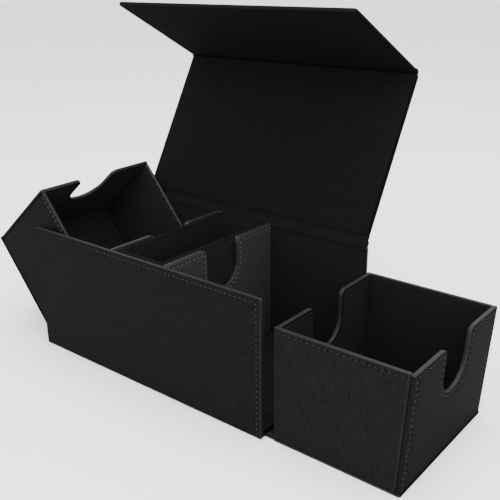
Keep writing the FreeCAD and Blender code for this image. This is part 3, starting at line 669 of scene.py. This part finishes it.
def tray(tag, M0, body, seed):
    H, x0, x1, yo = 71.0, 0.8, 81.0, 49.75
    s_left = 1 if tag == "left" else 0
    # how far the walls lean out at their top edges: outer end (front and back corner), inner end (the same), front, back
    out_f, out_b, inn_f, inn_b, front, back = LEANS[tag]
    M_inv = np.linalg.inv(M0)

    def flare(V):
        q = (M_inv[:3, :3] @ V.T).T + M_inv[:3, 3]
        t = np.clip(q[:, 2] / H, 0, 1.05)
        u = np.clip((q[:, 0] - x0) / (x1 - x0), 0, 1)
        v = np.clip((q[:, 1] + yo) / (2 * yo), 0, 1)
        q[:, 0] += t * ((out_f * (1 - v) + out_b * v) * u - (inn_f * (1 - v) + inn_b * v) * (1 - u))
        q[:, 1] += t * (back * v - front * (1 - v))
        return (M0[:3, :3] @ q.T).T + M0[:3, 3]
    # the right tray's front and back walls take the lighter leatherette copy, painted light; the left tray's local
    # front wall takes the brighter rim copy, a painted highlight
    fm = 0 if s_left else 9
    # front and back walls between the end walls
    for side, s in (("front", -1), ("back", 1)):
        M = M0 @ axes(-X * s, Z, Y * s, (40.9, yo * s, 0))
        e0, e1 = (-40.1, 37.45) if s < 0 else (-37.45, 40.1)
        rim = 14 if s_left and s < 0 else 3
        ol = rect(e0, e1, 0.3, H, 0.7)
        line = np.array([[x, H - (2.1 if s_left else 2.7)] for x in np.arange(e0 + 1.4, e1 - 1.3, 1.2)])
        wrapped("%s_tray_%s_panel" % (tag, side), ol, M, 2.7, body, ["%s_tray_%s_cover" % (tag, side), "%s_tray_%s_wall" % (tag, side)], [line], warp=flare, mats=(fm, fm, rim, rim, fm, 6), seam=10 if s_left else 12, seed=seed + s)
    for end, s, at in (("inner_end", -1, x0), ("outer_end", 1, x1)):
        M = M0 @ axes(Y * s, Z, X * s, (at, 0, 0))
        w = yo if s > 0 else yo - 1.3
        ol = rounded(notched(-w, w, 0.3, H, r=0.9))
        wrapped("%s_tray_%s_panel" % (tag, end), ol, M, 2.7, body, ["%s_tray_%s_cover" % (tag, end), "%s_tray_%s_wall" % (tag, end)],
                warp=flare, stitches=[notch_stitch(-w, w, H, 2.7, 0.8, (True, True) if s > 0 else (False, False))], mats=(1, 1, 3, 3, 0, 0), seam=10 if s_left else 2, seed=seed + 10 + s)
    parts = []
    kw = dict(r=0.22, rb=0.12, bead=0.0, wave=0.09)
    for s in (-1, 1):
        M = M0 @ axes(X * s, Z, -Y * s, (40.9, 46.75 * s, 0))
        parts.append((*panel(rect(-37.0, 37.0, 2.5, H - 1.5, 0.5), 0.42, seed=seed + 20 + s, **kw), M, {k: 0 for k in range(6)}))
        at = x1 - 3.0 if s > 0 else x0 + 3.0
        M = M0 @ axes(-Y * s, Z, -X * s, (at, 0, 0))
        ol = rounded(notched(-46.7, 46.7, 2.5, H - 1.5, w=16.0, depth=31.0, mouth=3.4, r=0.5))
        parts.append((*panel(ol, 0.42, seed=seed + 30 + s, **kw), M, {k: 3 for k in range(6)}))
    M = M0 @ axes(X, Y, Z, (40.9, 0, 2.7))
    parts.append((*panel(rect(-37.3, 37.3, -46.95, 46.95, 0.5), 0.42, seed=seed + 40, **kw), M, {k: 1 for k in range(6)}))
    # the left tray takes the lighter velvet copies, painted light
    emit(tag + "_tray_velvet", parts, VEL if s_left == 0 else VEL_LEFT, body, [tag + "_tray_lining"], flare)
    M = M0 @ axes(X, -Y, -Z, (0, 0, -0.5))
    ol = rect(0.8, 81.35, -50.1, 50.1, 1.0)
    # the base's rim faces take the lighter lip material, a painted highlight along the lip
    wrapped(tag + "_tray_base_panel", ol, M, 1.35, body, [tag + "_tray_base_cover"], mats=(1, 1, 13, 13, 1), up=(0.0, 1.0), r=0.2, rb=0.2, bead=0.0, wave=0.03, seed=seed + 50)


tray("right", RIGHT, "right_tray", 100)
tray("left", LEFT, "left_tray", 200)

# ------------------------------------------------------------ lid and flap
M = LID @ axes(X, Y, Z, (0, 0, 1.2))
ol = rounded([(-98.0, -110.05, 1.6), (98.9, -110.05, 1.6), (98.7, -1.3, 1.6), (-99.1, -1.3, 1.6)])
side = lambda x: np.array([[x, y] for y in np.arange(-109.45, -1.6, 1.2)])
# the lid's rim faces take the lighter edge material, a painted highlight
wrapped("lid_panel", ol, M, 2.5, "lid", ["lid_cover"], [side(-94.9), side(94.9)], mats=(0, 1, 6, 6, 6), r=1.1, rb=1.0, seed=300)
M = LID @ axes(X, -Y, -Z, (0, 0, -1.6))
# the lid lining takes the darker velvet copy, painted shade
wrapped("lid_velvet", rounded([(-97.6, 1.4, 0.8), (96.9, 1.4, 0.8), (97.5, 109.85, 0.8), (-96.6, 109.85, 0.8)]), M, 0.45, "lid", ["lid_lining"], r=0.25, rb=0.12, bead=0.0, wave=0.16, mats=(0, 0, 0, 0), materials=[M_LID_SHADED, M_LID_SHADED, M_THREAD], slot="velvet", seed=310)
M = FLAP @ axes(X, Z, -Y, (0, -1.6, 0))
ol = rounded([(-97.3, -87.7, 2.3), (96.7, -87.7, 2.3), (97.6, -1.8, 0.6), (-98.4, -1.8, 0.6)])
line = rounded([(-93.6, -2.2, 0), (-93.6, -84.6, 2.0), (93.6, -84.6, 2.0), (93.6, -2.2, 0)], closed=False, step=1.2)
wrapped("flap_panel", ol, M, 2.7, "flap", ["flap_cover"], [line], mats=(0, 1, 0, 0, 1), r=1.1, rb=1.0, seed=320)
M = FLAP @ axes(-X, Z, Y, (0, 1.4, 0))
ol = rounded([(-95.3, -86.3, 2.0), (95.9, -86.3, 2.0), (97.0, -2.0, 0.5), (-96.2, -2.0, 0.5)])
# the flap lining takes the darkest velvet copy, painted shade against the floor's light on it
wrapped("flap_velvet", ol, M, 0.45, "flap", ["flap_lining"], r=0.25, rb=0.12, bead=0.0, wave=0.16, mats=(0, 0, 0, 0), materials=[M_FLAP_SHADED, M_FLAP_SHADED, M_THREAD], slot="velvet", seed=330)


# ------------------------------------------------------------ creases: leatherette outside, velvet inside
def through(M, pts):
    """Points given in a piece's own (y, z) as row-frame (y, z)."""
    return [tuple((M @ np.array([0, y, z, 1.0]))[1:3]) for y, z in pts]


def smooth_path(pts, n=28):
    """A rounded path through the control points (quadratic spline)."""
    p = np.array(pts, float)
    mids = (p[:-1] + p[1:]) / 2
    out = [p[0]]
    for i in range(1, len(p) - 1):
        a, b, c = (p[0] if i == 1 else mids[i - 1]), p[i], (p[-1] if i == len(p) - 2 else mids[i])
        for t in np.linspace(0, 1, n)[1 if len(out) > 1 else 0:]:
            out.append((1 - t) ** 2 * a + 2 * t * (1 - t) * b + t * t * c)
    q = [out[0]]
    for v in out[1:]:
        if np.linalg.norm(v - q[-1]) > 0.08:
            q.append(v)
    return np.array(q)


def crease(name, path, x0, x1, t_out, t_in, replaces, mats):
    V, F, U, K = ribbon(path, x0, x1, t_out, t_in)
    me_parts = [(V, F, U, K, np.eye(4), {0: 0, 1: 1, 2: 0})]
    ob = emit(name, me_parts, mats, None, replaces)
    import bmesh
    bm = bmesh.new(); bm.from_mesh(ob.data)
    bmesh.ops.recalc_face_normals(bm, faces=bm.faces)
    bm.to_mesh(ob.data); bm.free()
    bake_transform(ob)
    return ob


half = SP / 2
low = [(53.6, 84.4), (53.7, 85.6), (54.0, 86.6), (54.1, 87.5)] + through(SPINE, [(0, half)])
path = smooth_path(low)
# the crease ribbons use the darker lid velvet copy, painted shade
crease("spine_crease_low", path, -97.9, 99.6, [2.35, 2.35, 2.3, 1.9, 1.4, 1.1, 0.9], 0.85,
       ["spine_board", "spine_cover"], [M_LID_SHADED, M_SMOOTH])
up = through(SPINE, [(0, half), (0, SP)]) + through(LID, [(-1.9, -0.2)])
path = smooth_path(up)
crease("spine_crease_high", path, -97.9, 98.6, 0.9, 0.9,
       ["spine_cover"], [M_LID_SHADED, M_SMOOTH])
fp = through(LID, [(-109.35, -0.2), (-110.85, -0.2), (-111.95, -0.3)]) + through(FLAP, [(-0.2, -1.2), (-0.2, -2.6)])
path = smooth_path(fp)
crease("flap_crease", path, -97.9, 97.6, 1.35, 1.42, ["flap_hinge_strip"], [M_SMOOTH, M_LID_SHADED])

# hinge strips of the trays run along Y: build them along X and turn them
def strip_ribbon(name, path, replaces, t=0.5, mat=M_OBJ):
    V, F, U, K = ribbon(path, -49.35, 49.35, t, t)
    W = np.column_stack([V[:, 1], V[:, 0], V[:, 2]])
    ob = emit(name, [(W, F, U, K, np.eye(4), {0: 0, 1: 0, 2: 0})], [mat], None, replaces)
    import bmesh
    bm = bmesh.new(); bm.from_mesh(ob.data)
    bmesh.ops.recalc_face_normals(bm, faces=bm.faces)
    bm.to_mesh(ob.data); bm.free()
    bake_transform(ob)
    return ob


strip_ribbon("right_strip", smooth_path([(97.0, 0.5), (98.0, 0.5), (101.0, 0.5), (104.0, 0.5)]),
             ["right_hinge_strip"], mat=M_STRIP)
strip_ribbon("left_strip_low", smooth_path([(-97.0, 0.55), (-97.98, 0.55), (-98.0, 1.4), (-98.0, 2.95)]),
             ["left_hinge_strip"])
ca, sa = math.cos(math.radians(TILT)), math.sin(math.radians(TILT))
strip_ribbon("left_strip_high", smooth_path([(-98.0, 2.95), (-98.0, 5.3), (-98 - ca * 1.0, 5.4 + sa * 1.0), (-98 - ca * 1.9, 5.4 + sa * 1.9)]),
             ["left_hinge_strip"])

for name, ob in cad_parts.items():
    if not ob.hide_render and (name.endswith("_cover") or name.endswith("_lining")):
        bv = ob.modifiers.new("soft_edge", "BEVEL")
        bv.width = 0.00025; bv.segments = 2; bv.limit_method = "ANGLE"

# ------------------------------------------------------------ stage, light, camera
bpy.ops.mesh.primitive_plane_add(size=12, location=(0, 0, -0.0003))
floor = bpy.context.object; floor.name = "floor"
fm, nt, b = nodes_of("floor_pale")
nt.links.new(ramp(nt, tex(nt, "Object", (3, 3, 3)), (0.86, 0.86, 0.86), (0.89, 0.89, 0.89)), b.inputs["Base Color"])
b.inputs["Roughness"].default_value = 0.9
b.inputs["Specular IOR Level"].default_value = 0.1
floor.data.materials.append(fm)

world = bpy.data.worlds.new("studio"); bpy.context.scene.world = world
world.use_nodes = True
world.node_tree.nodes["Background"].inputs[0].default_value = (1, 1, 1, 1)
world.node_tree.nodes["Background"].inputs[1].default_value = 2.1


def area(name, loc, target, size, power):
    l = bpy.data.lights.new(name, "AREA"); l.shape = "RECTANGLE"; l.size, l.size_y = size; l.energy = power
    ob = bpy.data.objects.new(name, l); bpy.context.scene.collection.objects.link(ob)
    ob.location = loc
    ob.rotation_euler = (Vector(target) - Vector(loc)).to_track_quat("-Z", "Y").to_euler()
    return ob


area("fill", (0.45, -0.75, 0.75), (0, 0, 0.08), (0.8, 0.8), 10)
area("top", (0.1, 0.1, 1.5), (0, 0, 0), (1.4, 1.0), 26)
area("side", (1.3, -0.1, 0.8), (0.1, 0, 0.05), (0.8, 0.8), 5)

CAM = dict(f=746.22, az=38.984, el=20.513, roll=-0.432, C=(321.12, -338.41, 251.26))
cam = bpy.data.cameras.new("camera"); cob = bpy.data.objects.new("camera", cam)
bpy.context.scene.collection.objects.link(cob)
cam.sensor_fit = "HORIZONTAL"; cam.sensor_width = 36.0
cam.lens = CAM["f"] / 500 * 36.0
cam.clip_start, cam.clip_end = 0.01, 50
az, el, ro = (math.radians(CAM[k]) for k in ("az", "el", "roll"))
fwd = np.array([-math.sin(az) * math.cos(el), math.cos(az) * math.cos(el), -math.sin(el)])
rgt = np.array([math.cos(az), math.sin(az), 0.0]); up_ = np.cross(rgt, fwd)
r2 = rgt * math.cos(ro) + up_ * math.sin(ro); u2 = -rgt * math.sin(ro) + up_ * math.cos(ro)
m = Matrix.Identity(4)
for i in range(3):
    m[i][0], m[i][1], m[i][2], m[i][3] = r2[i], u2[i], -fwd[i], CAM["C"][i] * MM
cob.matrix_world = m
bpy.context.scene.camera = cob
